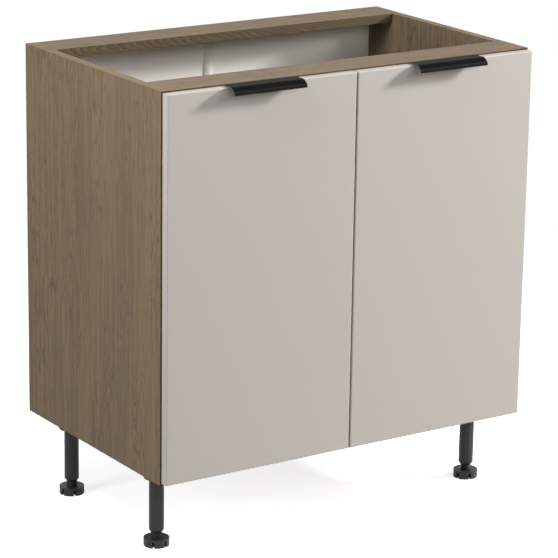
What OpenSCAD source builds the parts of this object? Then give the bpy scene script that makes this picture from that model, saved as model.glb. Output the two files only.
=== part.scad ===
// Kitchen base cabinet, 80 cm module, two overlay doors on concealed hinges, four screw legs.
// Origin: on the floor, in the middle of the footprint. +X to the right, +Y to the wall, +Z up.

/* [Body] */
// Overall width over both sides
body_w = 800; // [600:10:1000]
// Height of the body boards, legs not counted
body_h = 720; // [680:10:800]
// Depth of the side boards
side_d = 490; // [420:10:560]
// Thickness of the decor board
board_t = 18; // [16:1:20]
// Width of each flat top rail, front to back
rail_w = 80; // [70:5:110]
// Break on the long edges of the boards
board_break = 0.5; // [0.2:0.1:1]

/* [Shelf] */
// Underside of the shelf above the underside of the body
shelf_rise = 352; // [300:16:416]
// How far the shelf stands back from the front edges
shelf_setback = 20; // [10:5:40]
// Space beside each end of the shelf
shelf_side_gap = 1; // [0.5:0.5:2]
// Space between the shelf and the back
shelf_back_gap = 5; // [5:1:20]
// Diameter of the shelf pin holes
peg_d = 5; // [4:0.5:6]
// Depth of the shelf pin holes
peg_hole_depth = 10; // [8:1:12]
// Front pin row from the front edge
peg_front = 69; // [60:1:90]
// Rear pin row from the rear edge
peg_rear = 69; // [40:1:90]
// Holes in each pin row
peg_rows = 3; // [3:2:5]

/* [Back] */
// Thickness of the back sheets
back_t = 3; // [2.5:0.5:4]
// How far the back stays inside the outline of the body
back_inset = 1; // [0.5:0.5:2]
// Width of the joining strip between the two sheets
strip_w = 18; // [16:1:26]
// How far the rounded front of the strip stands off the sheets
strip_crown = 3.4; // [2.4:0.2:4]
// Thickness of the flanges and web of the strip
strip_t = 1; // [0.8:0.1:1.4]
// Length of the nails that hold the back
nail_l = 16; // [12:1:20]
// Shank diameter of the nails
nail_d = 1.6; // [1.2:0.1:2]
// Head diameter of the nails
nail_head_d = 3.6; // [3:0.2:4.6]
// Nails up each side
nails_up = 6; // [4:1:8]
// Nails along the bottom of each sheet, and along its top
nails_along = 3; // [2:1:4]

/* [Doors] */
// Door thickness
door_t = 16; // [16:1:19]
// Space between the door and the front edges of the body
door_gap = 1.5; // [1.2:0.1:2]
// How far the door stays inside the outer face of the side
door_side_inset = 2.5; // [2:0.5:3]
// Space between the two doors
door_centre_gap = 3; // [2:0.5:5]
// Door bottom above the underside of the body
door_low = 4; // [2:1:6]
// Door top below the top of the body
door_high = 3; // [2:1:6]
// Radius on the front edges of the door
door_edge_r = 2; // [1:0.5:4]
// Diameter of the soft door buffers
buffer_d = 8; // [6:1:9]
// How far a buffer sits from the edges of its door
buffer_inset = 8; // [6:1:10]

/* [Handles] */
// Handle length
handle_len = 152; // [96:4:224]
// Thickness of the bent metal
handle_t = 2.2; // [1.5:0.1:2.6]
// Height of the screwed flange behind the door
flange_h = 22; // [18:1:30]
// How far the handle stands out in front of the door
handle_out = 22.7; // [20:0.1:26]
// Level part of the handle in front of the door
handle_flat = 8; // [5:0.5:9]
// Outer radius of the bend after the level part
bend_r = 10; // [6:1:14]
// Slope of the part between the bends, in degrees
bend_turn = 32; // [26:1:36]
// Outer radius of the bend above the lip
nose_r = 4; // [3:0.5:6]
// Steepness of the lip in degrees
lip_turn = 78; // [72:1:84]
// Drop of the lip below the top of the handle
lip_drop = 13.3; // [12:0.1:16]
// Distance of each handle screw from the end of the handle
handle_screw_in = 24; // [14:1:32]

/* [Hinges] */
// Diameter of the hinge cup
cup_d = 35; // [35:1:36]
// Depth of the cup bore in the door
cup_depth = 12; // [12:0.1:12.5]
// Board left between the cup bore and the door edge
cup_edge = 4; // [3.5:0.1:4.5]
// Wall of the pressed cup
cup_wall = 0.9; // [0.7:0.1:0.9]
// Thickness of the cup flange
cup_flange_t = 0.9; // [0.7:0.1:0.9]
// Distance between the two cup screws
cup_screw_pitch = 45; // [45:1:48]
// Hinge centre from the end of the door
hinge_in = 100; // [90:5:130]
// Mounting plate screws from the front edge of the side
plate_setback = 37; // [36:1:40]
// Distance between the two plate screws
plate_pitch = 32; // [32:1:36]
// Pivot pin diameter
pin_d = 2.6; // [2.4:0.1:2.6]
// Thickness of the pressed hinge steel
steel_t = 1.4; // [1.2:0.1:1.4]
// Width of the inner link
inner_link_w = 7; // [6.6:0.2:7.4]

/* [Legs] */
// Floor to the underside of the body
leg_h = 150; // [140:1:170]
// Leg centre from the outer face of the side
leg_side = 45; // [44:1:70]
// Front leg centre from the front edge of the body
leg_front = 87; // [60:1:120]
// Rear leg centre from the rear edge of the body
leg_rear = 85; // [60:1:120]
// Diameter of the screwed collar under the bottom panel
collar_d = 48; // [46:1:52]
// Height of the collar
collar_h = 19.5; // [16:0.5:24]
// Width of the leg tube over its flat faces
tube_d = 27.5; // [27:0.5:29]
// Flat faces around the free part of the tube
tube_faces = 12; // [8:1:12]
// Bevel at the lower end of the tube
tube_bevel = 2.4; // [1:0.2:2.4]
// Height of that bevel
tube_bevel_h = 3; // [2:0.5:5]
// Diameter of the screw stem
stem_d = 20.5; // [17:0.5:20.5]
// Free stem between foot and tube as set
stem_free = 12.6; // [12.6:0.1:22]
// Stem length inside the tube as set
stem_hidden = 52; // [40:1:56]
// Diameter of the foot
foot_d = 47.5; // [42:0.5:56]
// Height of the foot
foot_h = 15; // [13:0.5:18]
// Grip slots around the foot
foot_slots = 6; // [4:1:8]
// Width of a grip slot
slot_w = 4.2; // [2:0.1:5]
// Height of a grip slot
slot_h = 12; // [8:0.5:12]
// Depth of a grip slot from the rim
slot_in = 9; // [5:0.5:10]

/* [Fittings] */
// Diameter of the cam locks
cam_d = 15; // [12:1:15]
// Cam centre from the end of its board
cam_in = 34; // [30:1:40]
// Diameter of the wooden dowels
dowel_d = 8; // [6:1:8]
// Length of the dowels
dowel_l = 34; // [30:1:36]
// Depth of holes drilled into the sides for dowels
side_hole = 12; // [10:1:12]
// Distance from a cam to its dowel
cam_to_dowel = 32; // [30:1:36]
// First cam of the bottom panel from the front and rear edges
bottom_cam_in = 48; // [44:1:60]

/* [Clearances] */
// Space around pieces pushed into a hole
push_fit = 0.1; // [0.05:0.01:0.15]
// Radial running clearance of the hinge pins
pin_fit = 0.05; // [0.03:0.01:0.08]
// Radial space around the leg stem
stem_fit = 0.35; // [0.3:0.05:0.5]

/* [Hidden] */
$fn = 48;

// Colours of the materials
oak = [0.52, 0.45, 0.37];
cashmere = [0.78, 0.74, 0.70];
white_board = [0.88, 0.87, 0.85];
white_plastic = [0.92, 0.92, 0.91];
black_metal = [0.11, 0.11, 0.12];
leg_plastic = [0.22, 0.22, 0.21];
nickel = [0.72, 0.72, 0.70];
zinc = [0.62, 0.62, 0.64];
beech = [0.80, 0.66, 0.48];
clear_soft = [0.85, 0.85, 0.82];

// Door and handle reach in front of the body
straights_out = handle_out - handle_flat - bend_r * sin(bend_turn)
    - nose_r * (sin(lip_turn) - sin(bend_turn));
straights_down = lip_drop - bend_r * (1 - cos(bend_turn)) - nose_r * (cos(bend_turn) - cos(lip_turn));
slope_l = (straights_out * sin(lip_turn) - straights_down * cos(lip_turn)) / sin(lip_turn - bend_turn);
lip_l = (straights_down * cos(bend_turn) - straights_out * sin(bend_turn)) / sin(lip_turn - bend_turn);
front_reach = door_gap + door_t + handle_out;
rear_reach = side_d + back_t + strip_t;

// Planes of the body
front_y = (front_reach - rear_reach) / 2;
rear_y = front_y + side_d;
low_z = leg_h;
top_z = leg_h + body_h;
inner_x = body_w / 2 - board_t;
inner_w = body_w - 2 * board_t;

// Doors
door_w = body_w / 2 - door_side_inset - door_centre_gap / 2;
door_z0 = low_z + door_low;
door_z1 = top_z - door_high;
door_rear_y = front_y - door_gap;
door_mid_x = (door_centre_gap + door_w) / 2;
handle_screw_z = door_z1 - flange_h / 2;
heel_r = 1;
buffer_t = door_gap - 0.35;
buffer_top_d = buffer_d - 2.4;
hinge_zs = [door_z0 + hinge_in, door_z1 - hinge_in];

// Hinge plan, u inwards from the inner face of the side, v back from its front edge.
// The inner link turns on an arm pin and a cup pin. The pair of outer links turns on the deeper
// cup pin and has slots at its arm pin, which slides along them a little as the door opens.
cup_u = cup_edge + cup_d / 2 + door_side_inset - board_t;
door_v = -door_gap;
arm_pin_inner = [23.8, 9.8];
arm_pin_outer = [14.4, 3.0];
cup_pin_inner = [cup_u - 11, door_v - 3.0];
cup_pin_outer = [cup_u - 11, door_v - 8.0];
inner_bulge = 9;
inner_strap_t = 2;
outer_knee = [cup_u - 0.5, door_v - 9.4];
outer_strap_w = 2.2;
eye_r = pin_d / 2 + 1.4;
slot_travel = 2.6;
slot_play = 0.45;
slot_back = 0.2;
slot_wall = 1;
layer_gap = 0.3;
cheek_z = inner_link_w / 2 + layer_gap;
outer_link_z = cheek_z + steel_t + layer_gap;
pin_inner_l = 2 * (cheek_z + steel_t);
pin_outer_l = 2 * (outer_link_z + steel_t + layer_gap);

// Cup, its flange and screws
cup_play = 0.05;
cup_bottom = cup_depth - 2 * cup_play;
cup_screw_u = cup_u + 9.5;
flange_ear_r = 7;
flange_lap = 1;
rib_w = 6.2;
rib_ahead = 3.4;

// Hinge arm and its mounting plate
arm_top_u = 22;
arm_web_v = 15;
arm_tail_v = 64;
arm_foot = 8;
arm_shoulder = 6;
arm_chin = [-2, 1.5];
arm_brow = [0, 2];
arm_screw_v = arm_tail_v - 12;
arm_screw_d = 4;
arm_screw_deep = 8;
plate_t = 2.2;
plate_core_u = 11;
plate_wing_d = 13;
plate_nose = 12;

// Legs: x and y signs, and how far each foot is turned, in node order
leg_signs = [[-1, -1], [1, -1], [-1, 1], [1, 1]];
foot_turn = [45.5, 15, 14.5, 30];
collar_break = 1.5;
foot_up = 12;
bore_spare = 2;
tube_low = foot_h + stem_free;
tube_plug = collar_h - bore_spare;
tube_plug_d = tube_d - 1;
tube_corner_d = tube_d / cos(180 / tube_faces);
tube_tip_d = (tube_d - 2 * tube_bevel) / cos(180 / tube_faces);

// Screws and cams
screw_head_d = 7;
screw_core_d = 3.4;
pan_head_h = 1.8;
pan_head_bevel = 1;
plate_head_d = 8.4;
arm_head_d = 7.5;
arm_head_h = 2;
recess_l = 3.8;
recess_w = 0.7;
recess_deep = 1.3;
handle_screw_l = 13;
cup_screw_l = 11;
cam_h = 12.2;
dowel_bevel = 0.7;
bolt_shank_d = 6;
bolt_thread_d = 5;
bolt_hole_d = 8;
bolt_collar_d = 7.4;
bolt_collar_l = 1.6;
bolt_neck_d = 3.6;
bolt_neck_l = 3;
bolt_head_d = 6.8;
bolt_head_l = 4;
hole_spare = 0.5;
collar_screw_r = 18.7;
collar_screw_seat = 4;
collar_screw_l = 13;
head_play = 0.3;
peg_pitch = 32;
peg_t = 2;
peg_out = 9;
peg_collar_t = 1;
peg_collar_w = 1.5;
peg_side_w = 1;
peg_seat_z = low_z + shelf_rise;

// Helpers

module board_x(l, d, t) // flat board along X, its long edges broken
    rotate([90, 0, 90]) linear_extrude(l, center = true) broken(d, t);

module broken(w, h) {
    c = board_break;
    polygon([[c, 0], [w - c, 0], [w, c], [w, h - c], [w - c, h], [c, h], [0, h - c], [0, c]]);
}

module per_side(side) // draws the left-hand piece, mirrored for the right
    mirror([side > 0 ? 1 : 0, 0, 0]) children();

module x_rod(d, l) rotate([0, 90, 0]) cylinder(d = d, h = l);

module y_rod(d, l) rotate([-90, 0, 0]) cylinder(d = d, h = l);

module at_hinges() // hinge plan of the left side, at both hinge heights
    for (z = hinge_zs) translate([-inner_x, front_y, z]) children();

module at_pin(p, h) translate([p.x, p.y, -h / 2]) children();

module both_layers(z) for (s = [0, 1]) mirror([0, 0, s]) translate([0, 0, z]) children();

// Joinery of the body

function bottom_cam_ys() = [front_y + bottom_cam_in, rear_y - bottom_cam_in];
function bottom_dowel_ys() = [front_y + bottom_cam_in + cam_to_dowel, rear_y - bottom_cam_in - cam_to_dowel];
function front_rail_y() = front_y + rail_w / 2;
function rear_rail_y() = rear_y - rail_w / 2;
function rail_cam_ys() = [for (y = [front_rail_y(), rear_rail_y()]) y + cam_to_dowel / 2];
function rail_dowel_ys() = [for (y = [front_rail_y(), rear_rail_y()]) y - cam_to_dowel / 2];
function bottom_mid_z() = low_z + board_t / 2;
function rail_mid_z() = top_z - board_t / 2;
function cam_places() = concat([for (y = bottom_cam_ys()) [y, bottom_mid_z()]],
    [for (y = rail_cam_ys()) [y, rail_mid_z()]]);
function dowel_places() = concat([for (y = bottom_dowel_ys()) [y, bottom_mid_z()]],
    [for (y = rail_dowel_ys()) [y, rail_mid_z()]]);
function peg_ys() = [front_y + peg_front, rear_y - peg_rear];
function peg_zs() = [for (i = [0 : peg_rows - 1])
    peg_seat_z - peg_d / 2 - peg_t + (i - (peg_rows - 1) / 2) * peg_pitch];

module side_holes() { // everything drilled into the inner face of the left side
    for (p = cam_places()) translate([-inner_x - side_hole, p.x, p.y])
        x_rod(bolt_thread_d + 2 * push_fit, side_hole + 1);
    for (p = dowel_places()) translate([-inner_x - side_hole, p.x, p.y])
        x_rod(dowel_d + 2 * push_fit, side_hole + 1);
    for (y = peg_ys(), z = peg_zs()) translate([-inner_x - peg_hole_depth, y, z])
        x_rod(peg_d + 2 * push_fit, peg_hole_depth + 1);
    at_hinges() for (s = [-1, 1]) translate([-side_hole, plate_setback, s * plate_pitch / 2])
        x_rod(peg_d + 2 * push_fit, side_hole + 1);
}

module end_holes(places) // bolt and dowel holes in both ends of a flat board, and its cam pockets
    for (side = [-1, 1]) per_side(side) {
        for (p = places[0]) {
            translate([-inner_x - 1, p.x, p.y]) x_rod(bolt_hole_d, cam_in + 1);
            translate([-inner_x + cam_in, p.x, p.y - board_t / 2 - 1])
                cylinder(d = cam_d + 2 * push_fit, h = cam_h + push_fit + 1);
        }
        for (p = places[1]) translate([-inner_x - 1, p.x, p.y])
            x_rod(dowel_d + 2 * push_fit, dowel_l - side_hole + 2);
    }

module side_panel() color(oak) difference() {
    translate([-body_w / 2, front_y, low_z]) linear_extrude(body_h) broken(board_t, side_d);
    side_holes();
}

module left_side() side_panel();

module right_side() per_side(1) side_panel();

module bottom_panel() color(oak) difference() {
    translate([0, front_y, low_z]) board_x(inner_w, side_d, board_t);
    end_holes([[for (y = bottom_cam_ys()) [y, bottom_mid_z()]],
        [for (y = bottom_dowel_ys()) [y, bottom_mid_z()]]]);
    for (i = [0 : 3]) leg_place(i) collar_screw_places()
        translate([0, 0, low_z - 1]) cylinder(d = screw_core_d + 2 * push_fit, h = collar_screw_l);
}

module rail(i) color(oak) difference() {
    translate([0, [front_y, rear_y - rail_w][i], top_z - board_t]) board_x(inner_w, rail_w, board_t);
    end_holes([[[rail_cam_ys()[i], rail_mid_z()]], [[rail_dowel_ys()[i], rail_mid_z()]]]);
}

module front_rail() rail(0);

module rear_rail() rail(1);

module shelf() color(oak) translate([0, front_y + shelf_setback, peg_seat_z])
    board_x(inner_w - 2 * shelf_side_gap, side_d - shelf_setback - shelf_back_gap, board_t);

module shelf_pins() // pin in the hole, collar on the side, flat-topped tongue under the shelf
    color(nickel) for (side = [-1, 1]) per_side(side) for (y = peg_ys())
        translate([-inner_x, y, peg_seat_z - peg_d / 2 - peg_t]) {
            translate([1 - peg_hole_depth, 0, 0]) x_rod(peg_d, peg_hole_depth - 1 + peg_out);
            x_rod(peg_d + 2 * peg_collar_w, peg_collar_t);
            translate([peg_collar_t / 2, -peg_d / 2 - peg_side_w, 0])
                cube([peg_out - peg_collar_t / 2, peg_d + 2 * peg_side_w, peg_d / 2 + peg_t]);
        }

module cam_locks() color(zinc) for (side = [-1, 1]) per_side(side) for (p = cam_places())
    translate([-inner_x + cam_in, p.x, p.y - board_t / 2]) difference() {
        cylinder(d = cam_d, h = cam_h);
        translate([-cam_d, 0, board_t / 2]) x_rod(bolt_hole_d, cam_d + bolt_head_l);
        rotate([180, 0, 0]) cross_recess(2 * recess_l, 2 * recess_w, recess_deep);
    }

module cam_bolts() color(zinc) for (side = [-1, 1]) per_side(side) for (p = cam_places())
    translate([-inner_x, p.x, p.y]) {
        translate([hole_spare - side_hole, 0, 0]) x_rod(bolt_thread_d, side_hole);
        x_rod(bolt_collar_d, bolt_collar_l);
        x_rod(bolt_shank_d, cam_in - bolt_neck_l - bolt_head_l / 2);
        translate([cam_in - bolt_head_l / 2 - bolt_neck_l - hole_spare, 0, 0])
            x_rod(bolt_neck_d, bolt_neck_l + 2 * hole_spare);
        translate([cam_in - bolt_head_l / 2, 0, 0]) x_rod(bolt_head_d, bolt_head_l);
    }

module dowels() color(beech) for (side = [-1, 1]) per_side(side) for (p = dowel_places())
    translate([-inner_x + hole_spare - side_hole, p.x, p.y]) {
        x_rod(dowel_d - 2 * dowel_bevel, dowel_l);
        translate([dowel_bevel, 0, 0]) x_rod(dowel_d, dowel_l - 2 * dowel_bevel);
    }

// Back

module back_sheet(side) color(white_board) per_side(side) {
    w = body_w / 2 - back_inset - strip_t / 2;
    translate([-body_w / 2 + back_inset, rear_y, low_z + back_inset])
        cube([w, back_t, body_h - 2 * back_inset]);
}

module back_sheet_left() back_sheet(-1);

module back_sheet_right() back_sheet(1);

module back_joint_strip() color(white_plastic) {
    // front flange between bottom panel and rear rail, web between the sheets, rear flange
    translate([0, rear_y, low_z + board_t]) linear_extrude(body_h - 2 * board_t) strip_front();
    translate([-strip_t / 2, rear_y - strip_t, low_z + board_t])
        cube([strip_t, back_t + 2 * strip_t, body_h - 2 * board_t]);
    translate([-strip_t / 2, rear_y, low_z + back_inset])
        cube([strip_t, back_t + strip_t, body_h - 2 * back_inset]);
    translate([-strip_w / 2, rear_y + back_t, low_z + back_inset])
        cube([strip_w, strip_t, body_h - 2 * back_inset]);
}

module strip_front() { // low straight flanks and a round crown between them
    rise = strip_crown / 2;
    r = (strip_w * strip_w / 4 + rise * rise) / (2 * rise);
    intersection() {
        translate([0, r - strip_crown]) circle(r, $fn = 120);
        translate([-strip_w / 2, -strip_crown]) square([strip_w, strip_crown]);
    }
}

module back_nails() {
    head_t = nail_d / 2;
    up = (body_h - 2 * board_t) / nails_up;
    along = (inner_w / 2 - strip_w) / nails_along;
    side_x = body_w / 2 - board_t / 2;
    color(zinc) for (side = [-1, 1]) per_side(side) {
        for (i = [0 : nails_up - 1]) nail(side_x, low_z + board_t + (i + 0.5) * up, head_t);
        for (i = [0 : nails_along - 1]) for (z = [bottom_mid_z(), rail_mid_z()])
            nail(strip_w + (i + 0.5) * along, z, head_t);
    }
}

module nail(x, z, head_t) translate([-x, rear_y + back_t, z]) {
    y_rod(nail_head_d, head_t);
    translate([0, -nail_l, 0]) y_rod(nail_d, nail_l + head_t / 2);
}

// Doors and handles

module soft_plan(w, t, r) { // rectangle with its two front corners rounded, front towards -Y
    translate([-w / 2, -t + r]) square([w, t - r]);
    translate([r - w / 2, -t]) square([w - 2 * r, t]);
    for (s = [-1, 1]) translate([s * (w / 2 - r), -t + r]) circle(r);
}

module door_slab() { // all four front edges rounded
    h = door_z1 - door_z0;
    intersection() {
        translate([-door_mid_x, door_rear_y, door_z0]) linear_extrude(h) soft_plan(door_w, door_t, door_edge_r);
        translate([-door_mid_x - door_w / 2 - 1, door_rear_y, (door_z0 + door_z1) / 2])
            rotate([0, 90, 0]) linear_extrude(door_w + 2) soft_plan(h, door_t, door_edge_r);
    }
}

module door(side) color(cashmere) per_side(side) difference() {
    door_slab();
    at_hinges() {
        translate([cup_u, door_v + 1, 0]) rotate([90, 0, 0]) cylinder(d = cup_d, h = cup_depth + 1, $fn = 72);
        cup_screw_places() translate([0, -cup_screw_l - push_fit, 0])
            y_rod(screw_core_d + 2 * push_fit, cup_screw_l + 1);
    }
    translate([-door_mid_x - handle_len / 2 - push_fit, door_rear_y - handle_t - push_fit,
        door_z1 - flange_h - push_fit]) cube([handle_len + 2 * push_fit, door_t, flange_h + 1]);
    handle_screw_places() translate([0, -handle_screw_l - push_fit, 0])
        y_rod(screw_core_d + 2 * push_fit, handle_screw_l);
}

module left_door() door(-1);

module right_door() door(1);

// Points of an arc about [cy, cz], from angle a to angle b
function arc(c, r, a, b, n) = [for (i = [0 : n]) c + r * [cos(a + (b - a) * i / n), sin(a + (b - a) * i / n)]];

// Bent profile, in distance forward from the rear face of the door and height over its top
function bend_mid() = [door_t + handle_flat, handle_t - bend_r];
function nose_mid() = bend_mid() + (bend_r - nose_r) * [sin(bend_turn), cos(bend_turn)]
    + slope_l * [cos(bend_turn), -sin(bend_turn)];
function lip_tip(r) = nose_mid() + r * [sin(lip_turn), cos(lip_turn)]
    + lip_l * [cos(lip_turn), -sin(lip_turn)];
function handle_outline() = concat(
    [[0, -flange_h], [0, handle_t - heel_r]],
    arc([heel_r, handle_t - heel_r], heel_r, 180, 90, 4),
    arc(bend_mid(), bend_r, 90, 90 - bend_turn, 8),
    arc(nose_mid(), nose_r, 90 - bend_turn, 90 - lip_turn, 6),
    [lip_tip(nose_r), lip_tip(nose_r - handle_t)],
    arc(nose_mid(), nose_r - handle_t, 90 - lip_turn, 90 - bend_turn, 6),
    arc(bend_mid(), bend_r - handle_t, 90 - bend_turn, 90, 8),
    [[handle_t, 0], [handle_t, -flange_h]]);

module handle(side) color(black_metal) per_side(side) difference() {
    translate([-door_mid_x, door_rear_y, door_z1]) rotate([90, 0, -90])
        linear_extrude(handle_len, center = true) polygon(handle_outline());
    handle_screw_places() flat_screw(screw_head_d, screw_core_d, handle_screw_l, push_fit);
}

module left_handle() handle(-1);

module right_handle() handle(1);

module handle_screw_places() for (s = [-1, 1])
    translate([-door_mid_x + s * (handle_len / 2 - handle_screw_in), door_rear_y, handle_screw_z]) children();

module flat_screw(head, core, l, grow) { // countersunk screw driven towards -Y, head flush at y = 0
    cone = (head - core) / 2;
    rotate([90, 0, 0]) cylinder(d1 = head + 2 * grow, d2 = core + 2 * grow, h = cone);
    translate([0, -l, 0]) y_rod(core + 2 * grow, l - cone / 2);
}

module cross_recess(l, w, deep) for (a = [0, 90]) // cut down from z = 0
    rotate([0, 0, a]) translate([-l / 2, -w / 2, -deep]) cube([l, w, deep + 1]);

module screw_drive() cross_recess(recess_l, recess_w, recess_deep);

module handle_screws(side) color(black_metal) per_side(side) handle_screw_places() difference() {
    flat_screw(screw_head_d, screw_core_d, handle_screw_l - hole_spare, 0);
    rotate([-90, 0, 0]) screw_drive();
}

module left_handle_screws() handle_screws(-1);

module right_handle_screws() handle_screws(1);

module door_buffers(side) color(clear_soft) per_side(side) // soft domes near the free edge
    for (z = [door_z0 + buffer_inset, door_z1 - buffer_inset])
        translate([-door_centre_gap / 2 - buffer_inset - buffer_d / 2, door_rear_y, z])
            rotate([-90, 0, 0]) cylinder(d1 = buffer_d, d2 = buffer_top_d, h = buffer_t);

module left_door_buffers() door_buffers(-1);

module right_door_buffers() door_buffers(1);

// Hinges, each drawn in its plan for the left side and mirrored for the right

module cup_screw_places() for (s = [-1, 1])
    translate([cup_screw_u, door_v, s * cup_screw_pitch / 2]) children();

module hinge_cups(side) {
    r_in = cup_d / 2 - cup_wall;
    color(nickel) per_side(side) at_hinges() difference() {
        union() {
            translate([cup_u, door_v, 0]) rotate([90, 0, 0]) difference() {
                cylinder(r = cup_d / 2 - cup_play, h = cup_bottom, $fn = 72);
                translate([0, 0, -1]) cylinder(r = r_in, h = cup_bottom - cup_wall + 1, $fn = 72);
            }
            translate([0, door_v, 0]) rotate([90, 0, 0]) mirror([0, 0, 1]) cup_flange(r_in);
            both_layers(cheek_z) cup_rib();
        }
        for (p = [cup_pin_inner, cup_pin_outer]) at_pin(p, cup_d) cylinder(d = pin_d, h = cup_d);
        cup_screw_places() translate([0, -1, 0]) y_rod(screw_core_d + 2 * push_fit, cup_flange_t + 2);
    }
}

module cup_flange(r_in) linear_extrude(cup_flange_t) difference() {
    union() {
        translate([cup_u, 0]) circle(cup_d / 2 + flange_lap);
        for (s = [-1, 1]) translate([cup_screw_u, s * cup_screw_pitch / 2]) circle(flange_ear_r);
        translate([cup_screw_u - flange_ear_r, -cup_screw_pitch / 2])
            square([2 * flange_ear_r, cup_screw_pitch]);
    }
    translate([cup_u, 0]) circle(r_in, $fn = 72);
}

module cup_rib() { // pressed rib in the cup that holds one end of both pins
    deep = cup_bottom - cup_wall / 2;
    translate([cup_pin_inner.x - rib_ahead, door_v - deep, 0]) cube([rib_w, deep - cup_wall, steel_t]);
}

module left_hinge_cups() hinge_cups(-1);

module right_hinge_cups() hinge_cups(1);

module cup_screws(side) color(nickel) per_side(side) at_hinges() cup_screw_places() {
    translate([0, hole_spare - cup_screw_l, 0]) y_rod(screw_core_d, cup_screw_l + cup_flange_t);
    translate([0, cup_flange_t, 0]) rotate([-90, 0, 0]) pan_head(screw_head_d);
}

module pan_head(d) difference() { // round-edged head standing on z = 0
    cylinder(d1 = d, d2 = d - 2 * pan_head_bevel, h = pan_head_h);
    translate([0, 0, pan_head_h]) screw_drive();
}

module left_cup_screws() cup_screws(-1);

module right_cup_screws() cup_screws(1);

module cup_pins(side) color(zinc) per_side(side) at_hinges() pin_pair(cup_pin_inner, cup_pin_outer);

module pin_pair(inner, outer) {
    at_pin(inner, pin_inner_l) cylinder(d = pin_d, h = pin_inner_l);
    at_pin(outer, pin_outer_l) cylinder(d = pin_d, h = pin_outer_l);
}

module left_cup_pins() cup_pins(-1);

module right_cup_pins() cup_pins(1);

module link_bow(a, b, bulge, t, w) { // bowed strap from pin a to pin b, bulging towards the door
    l = norm(a - b);
    r = (l * l / 4 + bulge * bulge) / (2 * bulge);
    d = (a - b) / l;
    side = [d.y, -d.x];
    mid = (a + b) / 2 + (bulge - r) * side;
    turn = atan2(d.y, d.x);
    intersection() {
        translate([mid.x, mid.y, 0]) difference() {
            cylinder(r = r + t / 2, h = w, center = true, $fn = 96);
            cylinder(r = r - t / 2, h = w + 1, center = true, $fn = 96);
        }
        translate([b.x, b.y, 0]) rotate([0, 0, turn]) translate([-t, -l, -w]) cube([l + 2 * t, l, 2 * w]);
    }
}

module inner_links(side) color(nickel) per_side(side) at_hinges() difference() {
    union() {
        link_bow(arm_pin_inner, cup_pin_inner, inner_bulge, inner_strap_t, inner_link_w);
        for (p = [arm_pin_inner, cup_pin_inner]) at_pin(p, inner_link_w) cylinder(r = eye_r, h = inner_link_w);
    }
    for (p = [arm_pin_inner, cup_pin_inner]) at_pin(p, 2 * inner_link_w)
        cylinder(r = pin_d / 2 + pin_fit, h = 2 * inner_link_w);
}

module left_inner_links() inner_links(-1);

module right_inner_links() inner_links(1);

module outer_link() { // one hooked cheek: round hole at the cup pin, slot at the arm pin
    a = arm_pin_outer;
    b = cup_pin_outer;
    turn = atan2(a.y - b.y, a.x - b.x);
    slot_r = pin_d / 2 + slot_play;
    difference() {
        union() {
            linear_extrude(steel_t) {
                bar(b, outer_knee, outer_strap_w);
                bar(outer_knee, a, outer_strap_w);
            }
            translate([b.x, b.y, 0]) cylinder(r = eye_r, h = steel_t);
            translate([a.x, a.y, 0]) rotate([0, 0, turn]) slot_shape(slot_r + slot_wall, steel_t);
        }
        translate([b.x, b.y, -1]) cylinder(r = pin_d / 2 + pin_fit, h = steel_t + 2);
        translate([a.x, a.y, -1]) rotate([0, 0, turn]) slot_shape(slot_r, steel_t + 2);
    }
}

module bar(a, b, w) { // flat strap with round ends
    translate(a) circle(d = w);
    translate(b) circle(d = w);
    translate(a) rotate([0, 0, atan2(b.y - a.y, b.x - a.x)]) translate([0, -w / 2]) square([norm(b - a), w]);
}

module slot_shape(r, h) { // runs away from the cup, where the arm pin slides as the door opens
    translate([-slot_back, 0, 0]) cylinder(r = r, h = h);
    translate([slot_travel, 0, 0]) cylinder(r = r, h = h);
    translate([-slot_back, -r, 0]) cube([slot_travel + slot_back, 2 * r, h]);
}

module outer_links(side) color(nickel) per_side(side) at_hinges() both_layers(outer_link_z) outer_link();

module left_outer_links() outer_links(-1);

module right_outer_links() outer_links(1);

module hinge_arms(side) color(nickel) per_side(side) at_hinges() difference() {
    union() {
        both_layers(cheek_z) linear_extrude(steel_t) arm_cheek();
        translate([arm_top_u - steel_t, arm_web_v, -cheek_z - steel_t])
            cube([steel_t, arm_tail_v - arm_web_v, 2 * (cheek_z + steel_t)]);
    }
    for (p = [arm_pin_inner, arm_pin_outer]) at_pin(p, cup_d) cylinder(d = pin_d, h = cup_d);
    translate([plate_core_u, arm_screw_v, 0]) x_rod(arm_screw_d + 2 * push_fit, arm_top_u);
}

module arm_cheek() { // side of the arm: eyes for both pins, shoulder, and foot over the plate
    bar(arm_pin_outer, arm_pin_inner, 2 * eye_r);
    polygon([arm_pin_outer + arm_chin, arm_pin_inner + arm_brow, [arm_top_u, arm_web_v + arm_brow.y],
        [arm_top_u, arm_tail_v], [plate_core_u, arm_tail_v], [plate_core_u, plate_setback + arm_foot],
        [plate_t, plate_setback + arm_foot], [plate_t, plate_setback - arm_foot],
        [arm_foot, plate_setback - arm_foot - arm_shoulder]]);
}

module left_hinge_arms() hinge_arms(-1);

module right_hinge_arms() hinge_arms(1);

module arm_pins(side) color(zinc) per_side(side) at_hinges() pin_pair(arm_pin_inner, arm_pin_outer);

module left_arm_pins() arm_pins(-1);

module right_arm_pins() arm_pins(1);

module arm_screws(side) color(zinc) per_side(side) at_hinges() { // clamp the arm on its plate
    reach = arm_top_u - plate_core_u + arm_screw_deep;
    translate([plate_core_u - arm_screw_deep, arm_screw_v, 0]) {
        x_rod(arm_screw_d, reach);
        translate([reach, 0, 0]) difference() {
            x_rod(arm_head_d, arm_head_h);
            translate([arm_head_h, 0, 0]) cube([arm_head_h, recess_w, arm_head_d + 1], center = true);
        }
    }
}

module left_arm_screws() arm_screws(-1);

module right_arm_screws() arm_screws(1);

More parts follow.
